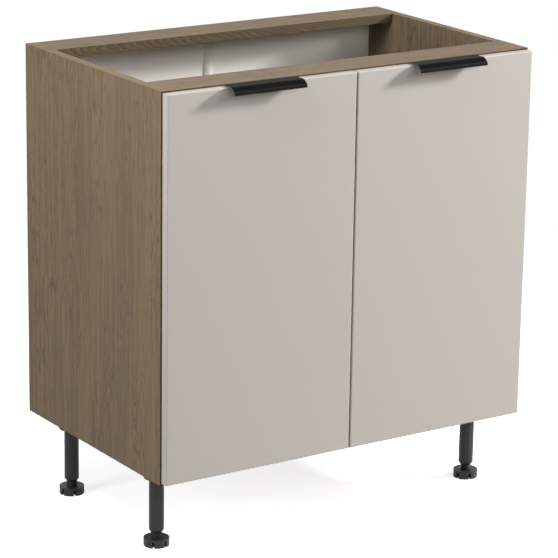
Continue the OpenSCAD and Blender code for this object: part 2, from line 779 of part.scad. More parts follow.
module hinge_plates(side) color(nickel) per_side(side) at_hinges() difference() {
    core_w = 2 * cheek_z - layer_gap;
    union() {
        for (s = [-1, 1]) translate([0, plate_setback, s * plate_pitch / 2]) x_rod(plate_wing_d, plate_t);
        translate([0, plate_setback - plate_wing_d / 2, -plate_pitch / 2])
            cube([plate_t, plate_wing_d, plate_pitch]);
        translate([0, plate_setback - plate_nose, -core_w / 2])
            cube([plate_core_u, arm_tail_v - plate_setback + plate_nose, core_w]);
    }
    for (s = [-1, 1]) translate([-1, plate_setback, s * plate_pitch / 2])
        x_rod(peg_d + 2 * push_fit, plate_t + 2);
    translate([plate_core_u - arm_screw_deep - hole_spare, arm_screw_v, 0])
        x_rod(arm_screw_d + 2 * push_fit, arm_top_u);
}

module left_hinge_plates() hinge_plates(-1);

module right_hinge_plates() hinge_plates(1);

module plate_screws(side) color(nickel) per_side(side) at_hinges()
    for (s = [-1, 1]) translate([0, plate_setback, s * plate_pitch / 2]) {
        translate([hole_spare - side_hole, 0, 0]) x_rod(peg_d, side_hole + plate_t);
        translate([plate_t, 0, 0]) rotate([0, 90, 0]) pan_head(plate_head_d);
    }

module left_plate_screws() plate_screws(-1);

module right_plate_screws() plate_screws(1);

// Legs

function leg_x(i) = leg_signs[i].x * (body_w / 2 - leg_side);
function leg_y(i) = leg_signs[i].y < 0 ? front_y + leg_front : rear_y - leg_rear;

module leg_place(i) translate([leg_x(i), leg_y(i), 0]) children();

module collar_screw_places() for (a = [45 : 90 : 315]) rotate([0, 0, a]) translate([collar_screw_r, 0, 0]) children();

module leg_collar(i) color(leg_plastic) leg_place(i) difference() {
    union() {
        translate([0, 0, low_z - collar_h + collar_break]) cylinder(d = collar_d, h = collar_h - collar_break);
        translate([0, 0, low_z - collar_h])
            cylinder(d1 = collar_d - 2 * collar_break, d2 = collar_d, h = collar_break);
    }
    translate([0, 0, low_z - collar_h - 1]) cylinder(d = tube_plug_d + 2 * push_fit, h = tube_plug + 1);
    collar_screw_places() {
        translate([0, 0, low_z - collar_h - 1])
            cylinder(d = screw_head_d + 2 * head_play, h = collar_h + 1 - collar_screw_seat);
        translate([0, 0, low_z - collar_h]) cylinder(d = screw_core_d + 2 * push_fit, h = collar_h + 1);
    }
}

module front_left_leg_collar() leg_collar(0);

module front_right_leg_collar() leg_collar(1);

module rear_left_leg_collar() leg_collar(2);

module rear_right_leg_collar() leg_collar(3);

module leg_tube(i) color(leg_plastic) leg_place(i) difference() { // round in the collar, faceted below
    union() {
        translate([0, 0, low_z - collar_h - 1]) cylinder(d = tube_plug_d, h = tube_plug + 1);
        rotate([0, 0, 180 / tube_faces]) {
            translate([0, 0, tube_low + tube_bevel_h])
                cylinder(d = tube_corner_d, h = low_z - collar_h - tube_low - tube_bevel_h, $fn = tube_faces);
            translate([0, 0, tube_low])
                cylinder(d1 = tube_tip_d, d2 = tube_corner_d, h = tube_bevel_h, $fn = tube_faces);
        }
    }
    translate([0, 0, tube_low - 1])
        cylinder(d = stem_d + 2 * stem_fit, h = stem_hidden + foot_up + bore_spare + 1);
}

module front_left_leg_tube() leg_tube(0);

module front_right_leg_tube() leg_tube(1);

module rear_left_leg_tube() leg_tube(2);

module rear_right_leg_tube() leg_tube(3);

module leg_foot(i) color(leg_plastic) leg_place(i) {
    difference() {
        cylinder(d = foot_d, h = foot_h, $fn = 64);
        for (k = [0 : foot_slots - 1]) rotate([0, 0, foot_turn[i] + k * 360 / foot_slots])
            translate([foot_d / 2 - slot_in, -slot_w / 2, -1]) cube([foot_d, slot_w, slot_h + 1]);
    }
    translate([0, 0, foot_h / 2]) cylinder(d = stem_d, h = tube_low + stem_hidden - foot_h / 2);
}

module front_left_foot() leg_foot(0);

module front_right_foot() leg_foot(1);

module rear_left_foot() leg_foot(2);

module rear_right_foot() leg_foot(3);

module leg_screws() color(zinc) for (i = [0 : 3]) leg_place(i) collar_screw_places() {
    seat_z = low_z - collar_screw_seat;
    translate([0, 0, seat_z]) cylinder(d = screw_core_d, h = collar_screw_seat + collar_screw_l - bore_spare);
    translate([0, 0, seat_z]) rotate([180, 0, 0]) pan_head(screw_head_d);
}

left_side();
right_side();
bottom_panel();
front_rail();
rear_rail();
shelf();
shelf_pins();
back_sheet_left();
back_sheet_right();
back_joint_strip();
back_nails();
cam_locks();
cam_bolts();
dowels();
left_door();
right_door();
left_handle();
right_handle();
left_handle_screws();
right_handle_screws();
left_door_buffers();
right_door_buffers();
left_hinge_cups();
right_hinge_cups();
left_cup_screws();
right_cup_screws();
left_cup_pins();
right_cup_pins();
left_inner_links();
right_inner_links();
left_outer_links();
right_outer_links();
left_hinge_arms();
right_hinge_arms();
left_arm_pins();
right_arm_pins();
left_arm_screws();
right_arm_screws();
left_hinge_plates();
right_hinge_plates();
left_plate_screws();
right_plate_screws();
front_left_leg_collar();
front_right_leg_collar();
rear_left_leg_collar();
rear_right_leg_collar();
front_left_leg_tube();
front_right_leg_tube();
rear_left_leg_tube();
rear_right_leg_tube();
front_left_foot();
front_right_foot();
rear_left_foot();
rear_right_foot();
leg_screws();
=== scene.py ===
"""Kitchen base cabinet: finishes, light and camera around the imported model, in metres."""

import logging
import math
from abc import ABC, abstractmethod
from collections.abc import Mapping, Sequence
from dataclasses import dataclass, field, replace
from enum import Enum

import bpy
from mathutils import Matrix, Vector

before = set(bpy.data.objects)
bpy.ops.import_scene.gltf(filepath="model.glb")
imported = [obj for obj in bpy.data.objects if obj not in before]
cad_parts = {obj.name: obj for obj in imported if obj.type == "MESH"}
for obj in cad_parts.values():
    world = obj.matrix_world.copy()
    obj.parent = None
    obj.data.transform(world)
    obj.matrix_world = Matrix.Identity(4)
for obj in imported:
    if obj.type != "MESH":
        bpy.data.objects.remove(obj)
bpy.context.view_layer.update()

LOG = logging.getLogger("cabinet")
MM = 0.001
WHITE = (1.0, 1.0, 1.0, 1.0)
CORNERS = ("front_left", "front_right", "rear_left", "rear_right")

Colour = tuple[float, float, float]
Span = tuple[float, float]

# How straight a surface has to face a way to be taken for an edge or an end there.
FACING: Span = (0.6, 0.9)


def srgb(red: int, green: int, blue: int) -> Colour:
    """Turns a colour as seen on a screen, 0 to 255, into linear light.

    Args:
        red: Red part.
        green: Green part.
        blue: Blue part.

    Returns:
        The linear colour.
    """
    def linear(part: int) -> float:
        """Linear value of one part."""
        share = part / 255
        return share / 12.92 if share <= 0.04045 else ((share + 0.055) / 1.055) ** 2.4

    return linear(red), linear(green), linear(blue)


def shaded(colour: Colour, share: float) -> Colour:
    """A colour with each part multiplied by the share."""
    return tuple(share * part for part in colour)


class Grain(Enum):
    """Which way the wood grain of a board runs."""

    UPRIGHT = "upright"
    SIDEWAYS = "sideways"


class Side(Enum):
    """The two hands of the cabinet, as they stand in the node names."""

    LEFT = "left"
    RIGHT = "right"


class Signal:
    """A node socket that can be used in plain arithmetic; each operation adds a Math node."""

    def __init__(self, graph: "Graph", socket: bpy.types.NodeSocket) -> None:
        """Wraps a socket.

        Args:
            graph: The tree the socket belongs to.
            socket: The output socket.
        """
        self.graph = graph
        self.socket = socket

    def __add__(self, other: "Value") -> "Signal":
        """Sum."""
        return self.graph.math("ADD", self, other)

    __radd__ = __add__

    def __sub__(self, other: "Value") -> "Signal":
        """Difference."""
        return self.graph.math("SUBTRACT", self, other)

    def __rsub__(self, other: "Value") -> "Signal":
        """Difference from a plain number."""
        return self.graph.math("SUBTRACT", other, self)

    def __mul__(self, other: "Value") -> "Signal":
        """Product."""
        return self.graph.math("MULTIPLY", self, other)

    __rmul__ = __mul__

    def __truediv__(self, other: "Value") -> "Signal":
        """Quotient."""
        return self.graph.math("DIVIDE", self, other)

    def __pow__(self, other: "Value") -> "Signal":
        """Power."""
        return self.graph.math("POWER", self, other)


Value = Signal | float
Input = Signal | float | Sequence[float]


class Graph:
    """A node tree that is being filled."""

    def __init__(self, tree: bpy.types.NodeTree) -> None:
        """Takes a tree and empties it.

        Args:
            tree: The tree of a material or of the world.
        """
        self.tree = tree
        tree.nodes.clear()

    def node(self, kind: str, settings: Mapping[str, object] | None = None,
             sockets: Mapping[str | int, Input] | None = None) -> bpy.types.Node:
        """Adds one node.

        Args:
            kind: The node's type.
            settings: Its settings.
            sockets: A value or a link for each input that isn't left as it is.

        Returns:
            The node.
        """
        made = self.tree.nodes.new(kind)
        for name, value in (settings or {}).items():
            setattr(made, name, value)
        for key, value in (sockets or {}).items():
            if isinstance(value, Signal):
                self.tree.links.new(value.socket, made.inputs[key])
            else:
                made.inputs[key].default_value = value
        return made

    def signal(self, kind: str, settings: Mapping[str, object] | None = None,
               sockets: Mapping[str | int, Input] | None = None, output: str | int = 0) -> Signal:
        """Adds one node and wraps one of its outputs.

        Args:
            kind: The node's type.
            settings: Its settings.
            sockets: Values or links for its inputs.
            output: The output that is wanted.

        Returns:
            The wrapped output.
        """
        return Signal(self, self.node(kind, settings, sockets).outputs[output])

    def math(self, operation: str, first: Value, second: Value = 0.0) -> Signal:
        """Adds a Math node on two numbers."""
        return self.signal("ShaderNodeMath", {"operation": operation}, {0: first, 1: second})

    def ease(self, value: Signal, low: float, high: float) -> Signal:
        """Goes smoothly from 0 at low to 1 at high."""
        return self.signal("ShaderNodeMapRange", {"interpolation_type": "SMOOTHSTEP"},
                           {"Value": value, "From Min": low, "From Max": high})

    def mix(self, share: Value, first: Input, second: Input) -> Signal:
        """Mixes two colours.

        Args:
            share: How much of the second colour there is.
            first: The first colour.
            second: The second colour.

        Returns:
            The mixed colour.
        """
        colours = [value if isinstance(value, Signal) else (*value, 1) for value in (first, second)]
        return self.signal("ShaderNodeMix", {"data_type": "RGBA"},
                           {0: share, 6: colours[0], 7: colours[1]}, output=2)

    def noise(self, place: Signal, scale: float, detail: float = 2.0, roughness: float = 0.5) -> Signal:
        """Soft noise from 0 to 1, with the middle at a half.

        Args:
            place: Where the noise is read.
            scale: Waves in each unit of the place.
            detail: How many finer layers it has.
            roughness: How strong the finer layers are.

        Returns:
            The noise.
        """
        return self.signal("ShaderNodeTexNoise", None, {"Vector": place, "Scale": scale, "Detail": detail,
                                                        "Roughness": roughness}, output="Fac")

    def object_place(self) -> Signal:
        """The point on the object, in metres, which stays with the piece when it moves."""
        return self.signal("ShaderNodeTexCoord", output="Object")

    def facing(self) -> tuple[Signal, Signal, Signal]:
        """Which way the surface faces, in the object's own axes."""
        return self.split(self.signal("ShaderNodeTexCoord", output="Normal"))

    def split(self, place: Signal) -> tuple[Signal, Signal, Signal]:
        """The X, Y and Z parts of a vector."""
        parts = self.node("ShaderNodeSeparateXYZ", None, {"Vector": place})
        return tuple(Signal(self, socket) for socket in parts.outputs)

    def stretch(self, place: Signal, waves: tuple[float, float, float]) -> Signal:
        """A place with each of its parts multiplied."""
        return self.signal("ShaderNodeVectorMath", {"operation": "MULTIPLY"}, {0: place, 1: waves})

    def join(self, x: Value, y: Value, z: Value) -> Signal:
        """A vector made of three numbers."""
        return self.signal("ShaderNodeCombineXYZ", None, {"X": x, "Y": y, "Z": z})

    def bump(self, height: Signal, strength: float, distance: float) -> Signal:
        """A normal that follows a height.

        Args:
            height: The height, 0 to 1.
            strength: How much of it counts.
            distance: The depth of a height of 1, in metres.

        Returns:
            The normal.
        """
        return self.signal("ShaderNodeBump", None, {"Height": height, "Strength": strength,
                                                    "Distance": distance})

    def surface(self, base: Signal, roughness: Value, normal: Signal,
                others: Mapping[str, Input] | None = None) -> Signal:
        """Adds the main shader.

        Args:
            base: The colour.
            roughness: The roughness.
            normal: The normal.
            others: Other inputs that aren't left as they are.

        Returns:
            The shader.
        """
        sockets = {"Base Color": base, "Roughness": roughness, "Normal": normal, **(others or {})}
        return self.signal("ShaderNodeBsdfPrincipled", None, sockets)

    def output(self, shader: Signal, kind: str = "ShaderNodeOutputMaterial") -> None:
        """Ends the tree with its output."""
        self.node(kind, None, {"Surface": shader})


@dataclass(frozen=True)
class Finish(ABC):
    """A finish of the cabinet's pieces.

    Attributes:
        name: What the material is called.
    """

    name: str

    @abstractmethod
    def paint(self, graph: Graph) -> Signal:
        """Fills the tree.

        Args:
            graph: The material's tree.

        Returns:
            The shader.
        """

    def material(self) -> bpy.types.Material:
        """Makes the material, once.

        Returns:
            The material.
        """
        known = bpy.data.materials.get(self.name)
        if known:
            return known
        made = bpy.data.materials.new(self.name)
        made.use_nodes = True
        graph = Graph(made.node_tree)
        graph.output(self.paint(graph))
        return made


@dataclass(frozen=True)
class Layer:
    """One layer of noise in a wood print.

    Attributes:
        along: Waves in a metre along the grain.
        across: Waves in a metre across the grain.
        detail: How many finer layers it has.
        roughness: How strong the finer layers are.
    """

    along: float
    across: float
    detail: float = 2.0
    roughness: float = 0.5


@dataclass(frozen=True)
class OakDecor(Finish):
    """Melamine board with an oak print: soft streaks, narrow flames, short pores, hairs and small knots.

    A span is the pair of values between which a part of the print fades in.

    Attributes:
        grain: Which way the grain runs.
        shift: Moves the print along and across, so that no two boards are alike.
        wood: The print's middle colour.
        cool: Colour of the greyer streaks.
        ochre: Colour of the early wood in the flames.
        late: Colour of the late wood lines and the hairs.
        pore: Colour of the pores and knots.
        band_print_and_shade_dark: Dark colour of the edge band on the front edges, whose print is stronger;
            it is also painted shade, darker than the faces.
        band_print_and_shade_light: Light colour of that band, also darkened as painted shade.
        skew: How far the print moves across with each metre through the board.
        side_step: Share of the shift that moves the print across.
        clouds: Broad lighter and darker patches.
        streaks: Long streaks.
        threads: Fine threads.
        fibres: What the pores are cut from.
        hairs: What the hairs are cut from.
        patches: Where the flames show.
        slope: The hills that the rings climb, 48 mm wide, with a flame on each.
        ripple: What makes the rings waver.
        band_ripple: What makes the lines of the band waver.
        ring_length: Distance of the rings along the grain.
        slope_rings: How many rings a hill carries.
        ripple_rings: By how many rings the ripple moves a line.
        band_rings: Rings in a metre along and across the band, and by how many its ripple moves a line.
        patch_span: Edge of a patch.
        early_spans: Rise and fall of the early wood within a ring.
        line_spans: Rise and fall of the late wood line within a ring.
        pore_span: Edge of a pore.
        hair_span: Edge of a hair.
        knot_places: Places for a knot in a metre along and across the grain.
        knot_span: Inner and outer edge of a knot.
        relief: Depth of the print's embossing.
    """

    grain: Grain = Grain.UPRIGHT
    shift: float = 0.0
    wood: Colour = srgb(140, 120, 95)
    cool: Colour = srgb(117, 102, 84)
    ochre: Colour = srgb(146, 125, 92)
    late: Colour = srgb(84, 75, 66)
    pore: Colour = srgb(50, 43, 37)
    band_print_and_shade_dark: Colour = srgb(72, 60, 47)
    band_print_and_shade_light: Colour = srgb(114, 97, 73)
    skew: float = 0.62
    side_step: float = 0.37
    clouds: Layer = Layer(1.1, 9.0)
    streaks: Layer = Layer(2.2, 105.0, 3.0, 0.6)
    threads: Layer = Layer(12.0, 330.0, 3.0, 0.6)
    fibres: Layer = Layer(95.0, 520.0)
    hairs: Layer = Layer(34.0, 430.0)
    patches: Layer = Layer(3.0, 15.0)
    slope: Layer = Layer(1.7, 1 / 0.048, 1.5, 0.45)
    ripple: Layer = Layer(9.0, 75.0)
    band_ripple: Layer = Layer(8.0, 50.0)
    ring_length: float = 0.085
    slope_rings: float = 13.0
    ripple_rings: float = 0.45
    band_rings: tuple[float, float, float] = (42.0, 170.0, 3.0)
    patch_span: Span = (0.42, 0.64)
    early_spans: tuple[Span, Span] = ((0.3, 0.62), (0.06, 0.3))
    line_spans: tuple[Span, Span] = ((0.76, 0.93), (0.0, 0.03))
    pore_span: Span = (0.62, 0.72)
    hair_span: Span = (0.54, 0.66)
    knot_places: tuple[float, float] = (2.9, 6.5)
    knot_span: Span = (0.014, 0.04)
    relief: float = 0.05 * MM

    def paint(self, graph: Graph) -> Signal:
        """Fills the tree.

        Args:
            graph: The material's tree.

        Returns:
            The shader.
        """
        x, y, z = graph.split(graph.object_place())
        upright = self.grain is Grain.UPRIGHT
        along = (z if upright else x) + self.shift
        through = x if upright else z
        across = y + through * self.skew + self.shift * self.side_step

        def stretched(waves_along: float, waves_across: float) -> Signal:
            """The place on the board in waves along and across the grain."""
            return graph.join(along * waves_along, across * waves_across, self.shift)

        def read(layer: Layer) -> Signal:
            """A layer's noise on this board."""
            return graph.noise(stretched(layer.along, layer.across), 1.0, layer.detail, layer.roughness)

        clouds = read(self.clouds)
        threads = read(self.threads)
        band = graph.ease(-1.0 * graph.facing()[1], *FACING)

        # The rings climb along the grain and over the hills, and run aslant on the band.
        band_along, band_across, band_waver = self.band_rings
        band_level = along * band_along + through * band_across + read(self.band_ripple) * band_waver
        level = along / self.ring_length + read(self.slope) * self.slope_rings
        level = level + read(self.ripple) * self.ripple_rings + band * band_level
        rings = graph.math("FRACT", level)
        here = graph.ease(read(self.patches) + (clouds - 0.5) * 0.4 + band * 0.2, *self.patch_span)
        early = self._within(graph, rings, self.early_spans) * here
        line = self._within(graph, rings, self.line_spans) * (0.15 + 0.85 * here)

        # Pores and hairs are denser in the flames; a knot is the middle of a cell.
        dense = graph.ease(here + line, 0.3, 1.0)
        pores = graph.ease(read(self.fibres), *self.pore_span) * (0.3 + 0.7 * dense)
        hairs = graph.ease(read(self.hairs), *self.hair_span) * (0.24 + 0.42 * here)
        spot = graph.signal("ShaderNodeTexVoronoi", None,
                            {"Vector": stretched(*self.knot_places), "Scale": 1.0}, output="Distance")
        knots = 1 - graph.ease(spot + (threads - 0.5) * 0.04, *self.knot_span)

        # The colours, from the ground up.
        shade = read(self.streaks) * 0.42 + clouds * 0.22 + threads * 0.36
        # The band on the front edges: edge band print, with its colours also darkened as painted shade.
        band_tone = graph.mix(early * 0.3 + threads * 0.55, self.band_print_and_shade_dark, self.band_print_and_shade_light)
        line_tone = graph.mix(band, self.late, self.pore)
        colour = graph.mix(graph.ease(shade, 0.4, 0.6), self.cool, self.wood)
        colour = graph.mix(graph.ease(threads, 0.5, 0.75) * 0.22, colour, self.ochre)
        colour = graph.mix(early * 0.34, colour, self.ochre)
        colour = graph.mix(hairs, colour, self.late)
        colour = graph.mix(band, colour, band_tone)
        colour = graph.mix(line * (0.5 + 0.06 * band), colour, line_tone)
        colour = graph.mix(graph.math("MAXIMUM", pores * 0.75, knots * 0.85), colour, self.pore)
        normal = graph.bump(threads * 0.5 - line * 0.2 - pores * 0.9, 0.35, self.relief)
        roughness = 0.56 + threads * 0.14 + pores * 0.1
        return graph.surface(colour, roughness, normal, {"Specular IOR Level": 0.15})

    @staticmethod
    def _within(graph: Graph, rings: Signal, spans: tuple[Span, Span]) -> Signal:
        """A part of each ring, from where it rises to where it falls."""
        rise, fall = spans
        return graph.ease(rings, *rise) * graph.ease(1 - rings, *fall)


@dataclass(frozen=True)
class MattFront(Finish):
    """Smooth matt foil of the doors.

    Attributes:
        base: Its colour.
        edge: Colour of its left edge, a shade lighter as painted light from the left.
        cloud_waves: Waves in a metre of the faint clouds.
        grain_waves: Waves in a metre of the foil's fine grain.
        peel_waves: Waves in a metre of its unevenness.
        relief: Depth of grain and unevenness.
    """

    base: Colour = srgb(190, 183, 176)
    edge: Colour = srgb(203, 196, 189)
    cloud_waves: float = 3.0
    grain_waves: float = 1400.0
    peel_waves: float = 260.0
    relief: float = 0.04 * MM

    def paint(self, graph: Graph) -> Signal:
        """Fills the tree.

        Args:
            graph: The material's tree.

        Returns:
            The shader.
        """
        place = graph.object_place()
        cloud = graph.noise(place, self.cloud_waves)
        grain = graph.noise(place, self.grain_waves)
        peel = graph.noise(place, self.peel_waves, 1.0)
        colour = graph.mix(cloud, self.base, shaded(self.base, 0.985))
        # Painted light: the left edge is lighter, as if lit from the left.
        edge = graph.ease(-1.0 * graph.facing()[0], *FACING)
        colour = graph.mix(edge, colour, self.edge)
        normal = graph.bump(peel * 0.7 + grain * 0.3, 0.12, self.relief)
        return graph.surface(colour, 0.46 + cloud * 0.05 + grain * 0.04, normal, {"IOR": 1.47})


@dataclass(frozen=True)
class WhiteBoard(Finish):
    """White lacquered thin fibreboard of the back.

    Attributes:
        base: Its colour.
        cloud_waves: Waves in a metre of the faint clouds.
        dimple_waves: Waves in a metre of the dimples.
        relief: Depth of the dimples.
    """

    base: Colour = srgb(249, 244, 239)
    cloud_waves: float = 6.0
    dimple_waves: float = 420.0
    relief: float = 0.05 * MM

    def paint(self, graph: Graph) -> Signal:
        """Fills the tree.

        Args:
            graph: The material's tree.

        Returns:
            The shader.
        """
        place = graph.object_place()
        cloud = graph.noise(place, self.cloud_waves, 3.0)
        dimple = graph.noise(place, self.dimple_waves)
        colour = graph.mix(cloud, self.base, shaded(self.base, 0.97))
        return graph.surface(colour, 0.36 + dimple * 0.12, graph.bump(dimple, 0.15, self.relief))


@dataclass(frozen=True)
class Plastic(Finish):
    """Moulded plastic with a fine spark-eroded skin.

    Attributes:
        base: Its colour.
        gloss: Its roughness.
        skin: Depth of the skin, in metres.
        see_through: How clear it is, 0 to 1.
        shine: Strength of its highlights, 0.5 for a bare plastic.
        pit_waves: Waves in a metre of the skin.
        cloud_waves: Waves in a metre of the faint clouds.
    """

    base: Colour = srgb(39, 39, 38)
    gloss: float = 0.46
    skin: float = 0.03 * MM
    see_through: float = 0.0
    shine: float = 0.3
    pit_waves: float = 1500.0
    cloud_waves: float = 35.0

    def paint(self, graph: Graph) -> Signal:
        """Fills the tree.

        Args:
            graph: The material's tree.

        Returns:
            The shader.
        """
        place = graph.object_place()
        pits = graph.noise(place, self.pit_waves, 3.0, 0.6)
        cloud = graph.noise(place, self.cloud_waves, 3.0)
        colour = graph.mix(cloud, self.base, shaded(self.base, 0.86))
        normal = graph.bump(pits, 0.35, self.skin)
        return graph.surface(colour, self.gloss + cloud * 0.08 + pits * 0.06, normal,
                             {"Transmission Weight": self.see_through, "Specular IOR Level": self.shine})


@dataclass(frozen=True)
class ScrewFoot(Plastic):
    """Moulding of a foot whose stem carries a screw thread, with painted shade on the stem, darkest in the
    grooves.

    Attributes:
        axis: Where the stem stands, X and Y.
        stem_radius: Radius within which the thread is drawn.
        plate_top: Height of the foot's plate, above which the stem begins.
        pitch: Distance of the thread's turns.
        fade: Distance over which the thread fades out at the plate and round the stem.
        thread_depth: Depth of the thread.
    """

    axis: tuple[float, float] = (0.0, 0.0)
    stem_radius: float = 11.5 * MM
    plate_top: float = 15.2 * MM
    pitch: float = 3.0 * MM
    fade: float = 0.6 * MM
    thread_depth: float = 0.9 * MM

    def paint(self, graph: Graph) -> Signal:
        """Fills the tree.

        Args:
            graph: The material's tree.

        Returns:
            The shader.
        """
        place = graph.object_place()
        x, y, z = graph.split(place)
        aside, behind = x - self.axis[0], y - self.axis[1]
        turn = graph.math("ARCTAN2", behind, aside) / (2 * math.pi)
        away = (aside * aside + behind * behind) ** 0.5
        stem = graph.ease(z, self.plate_top, self.plate_top + self.fade) * (
            1 - graph.ease(away, self.stem_radius, self.stem_radius + self.fade))
        wave = graph.math("COSINE", (z / self.pitch - turn) * (2 * math.pi)) * 0.5 + 0.5
        pits = graph.noise(place, self.pit_waves, 3.0, 0.6)
        # Painted shade: the stem is darkened, most in the thread's grooves.
        painted_thread_shade = stem * (0.45 + 0.4 * (1 - wave))
        colour = graph.mix(painted_thread_shade, self.base, shaded(self.base, 0.25))
        normal = graph.bump(wave * stem + pits * 0.03, 0.9, self.thread_depth)
        return graph.surface(colour, self.gloss + pits * 0.06, normal, {"Specular IOR Level": self.shine})


@dataclass(frozen=True)
class PowderCoat(Finish):
    """Satin powder coat on the handles, with bare metal on the cut ends of the profile, lightened as a
    painted highlight.

    Attributes:
        base: Its colour.
        cut_end_and_highlight: Colour of the ends, where the metal shows, lighter as a painted highlight.
        burnish: How much the nose and lip, where hands touch them, are rubbed to a shine.
        worn_span: How far forward a surface has to face for the burnish to fade in.
        peel_waves: Waves in a metre of the coat's unevenness.
        cloud_waves: Waves in a metre of the faint clouds.
        relief: Depth of the unevenness.
    """

    base: Colour = srgb(10, 10, 11)
    cut_end_and_highlight: Colour = srgb(104, 103, 100)
    burnish: float = 0.12
    worn_span: Span = (0.72, 0.93)
    peel_waves: float = 900.0
    cloud_waves: float = 60.0
    relief: float = 0.03 * MM

    def paint(self, graph: Graph) -> Signal:
        """Fills the tree.

        Args:
            graph: The material's tree.

        Returns:
            The shader.
        """
        place = graph.object_place()
        peel = graph.noise(place, self.peel_waves)
        cloud = graph.noise(place, self.cloud_waves)
        colour = graph.mix(cloud, self.base, shaded(self.base, 1.25))
        # Bare metal on the cut ends, with its shine painted in as a lighter colour.
        end = graph.ease(graph.math("ABSOLUTE", graph.facing()[0]), *FACING)
        colour = graph.mix(end, colour, self.cut_end_and_highlight)
        normal = graph.bump(peel, 0.25, self.relief)
        worn = graph.ease(-1.0 * graph.facing()[1], *self.worn_span)
        roughness = 0.42 + peel * 0.08 + cloud * 0.04
        return graph.surface(colour, roughness, normal,
                             {"Specular IOR Level": 0.03, "Coat Weight": worn * self.burnish,
                              "Coat Roughness": 0.24})


@dataclass(frozen=True)
class PlatedSteel(Finish):
    """Plated steel of the fittings, drawn or tumbled.

    Attributes:
        base: Its colour.
        gloss: Its roughness.
        cloud_waves: Waves in a metre of the plating's clouds.
        scratch_waves: Waves in a metre of the scratches, along X, Y and Z.
        relief: Depth of the scratches.
    """

    base: Colour = (0.66, 0.65, 0.62)
    gloss: float = 0.24
    cloud_waves: float = 140.0
    scratch_waves: tuple[float, float, float] = (500.0, 500.0, 5200.0)
    relief: float = 0.02 * MM

    def paint(self, graph: Graph) -> Signal:
        """Fills the tree.

        Args:
            graph: The material's tree.

        Returns:
            The shader.
        """
        place = graph.object_place()
        cloud = graph.noise(place, self.cloud_waves, 3.0)
        scratch = graph.noise(graph.stretch(place, self.scratch_waves), 1.0)
        colour = graph.mix(cloud, self.base, shaded(self.base, 0.86))
        normal = graph.bump(scratch, 0.12, self.relief)
        return graph.surface(colour, self.gloss + cloud * 0.12 + scratch * 0.08, normal, {"Metallic": 1.0})


@dataclass(frozen=True)
class PlainBeech(Finish):
    """Turned beech of the dowels.

    Attributes:
        base: Its colour.
        fibre_waves: Waves in a metre of the fibres, along X, Y and Z.
        relief: Depth of the fibres.
    """

    base: Colour = srgb(205, 176, 138)
    fibre_waves: tuple[float, float, float] = (60.0, 900.0, 900.0)
    relief: float = 0.05 * MM

    def paint(self, graph: Graph) -> Signal:
        """Fills the tree.

        Args:
            graph: The material's tree.

        Returns:
            The shader.
        """
        fibres = graph.noise(graph.stretch(graph.object_place(), self.fibre_waves), 1.0, 3.0, 0.6)
        colour = graph.mix(fibres, self.base, shaded(self.base, 0.7))
        return graph.surface(colour, 0.62, graph.bump(fibres, 0.3, self.relief))


CASHMERE = MattFront("cashmere_foil")
WHITE_BACK = WhiteBoard("white_thin_board")
WHITE_STRIP = Plastic("white_strip_plastic", base=srgb(249, 242, 233), gloss=0.2, skin=0.01 * MM, shine=0.5)
BLACK = PowderCoat("black_satin_coat")
LEG = Plastic("leg_moulding")
NICKEL = PlatedSteel("nickel_plate")
ZINC = PlatedSteel("zinc_plate", base=(0.55, 0.56, 0.57), gloss=0.36)
BEECH = PlainBeech("beech_dowel")
BUFFER = Plastic("clear_buffer", base=srgb(232, 232, 228), gloss=0.3, see_through=0.7)


def dress(finish: Finish, *names: str) -> None:
    """Gives CAD pieces their finish.

    Args:
        finish: The finish.
        names: Names of the nodes.
    """
    for name in names:
        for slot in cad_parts[name].material_slots:
            slot.material = finish.material()
        LOG.info("%s: %s", name, finish.name)


@dataclass
class Body:
    """The boards of the body, each with its own stretch of the oak print.

    Attributes:
        boards: The boards and which way their grain runs.
        print_step: How far the print is moved on from one board to the next.
        side_band_and_shade: Dark and light colour of the side boards' front edges, darker still as painted
            shade in the gap beside the doors.
        flat_shade_tone: Middle and grey colour of the print on the flat boards, darker as painted shade
            against the light on their tops.
    """

    boards: Mapping[str, Grain] = field(default_factory=lambda: {
        "left_side": Grain.UPRIGHT, "right_side": Grain.UPRIGHT, "bottom_panel": Grain.SIDEWAYS,
        "front_rail": Grain.SIDEWAYS, "rear_rail": Grain.SIDEWAYS, "shelf": Grain.SIDEWAYS})
    print_step: float = 1.37
    side_band_and_shade: tuple[Colour, Colour] = (srgb(60, 49, 38), srgb(92, 77, 58))
    flat_shade_tone: tuple[Colour, Colour] = (srgb(132, 114, 93), srgb(111, 97, 81))

    def build(self) -> None:
        """Dresses the boards, the sides with a band darkened as painted shade and the flat boards with a
        print darkened as painted shade.
        """
        for number, (name, grain) in enumerate(self.boards.items()):
            oak = OakDecor(f"oak_{name}", grain=grain, shift=number * self.print_step)
            if grain is Grain.UPRIGHT:
                # Painted shade: the side boards' front edges are darker, like the shade in the gap beside
                # the doors.
                dark, light = self.side_band_and_shade
                oak = replace(oak, band_print_and_shade_dark=dark, band_print_and_shade_light=light)
            else:
                # Painted shade: the flat boards' print is darker, to tone down the light on their tops.
                wood, cool = self.flat_shade_tone
                oak = replace(oak, wood=wood, cool=cool)
            dress(oak, name)


@dataclass
class Back:
    """The two back sheets, their joining strip and the nails."""

    def build(self) -> None:
        """Dresses the back."""
        dress(WHITE_BACK, "back_sheet_left", "back_sheet_right")
        dress(WHITE_STRIP, "back_joint_strip")
        dress(ZINC, "back_nails")


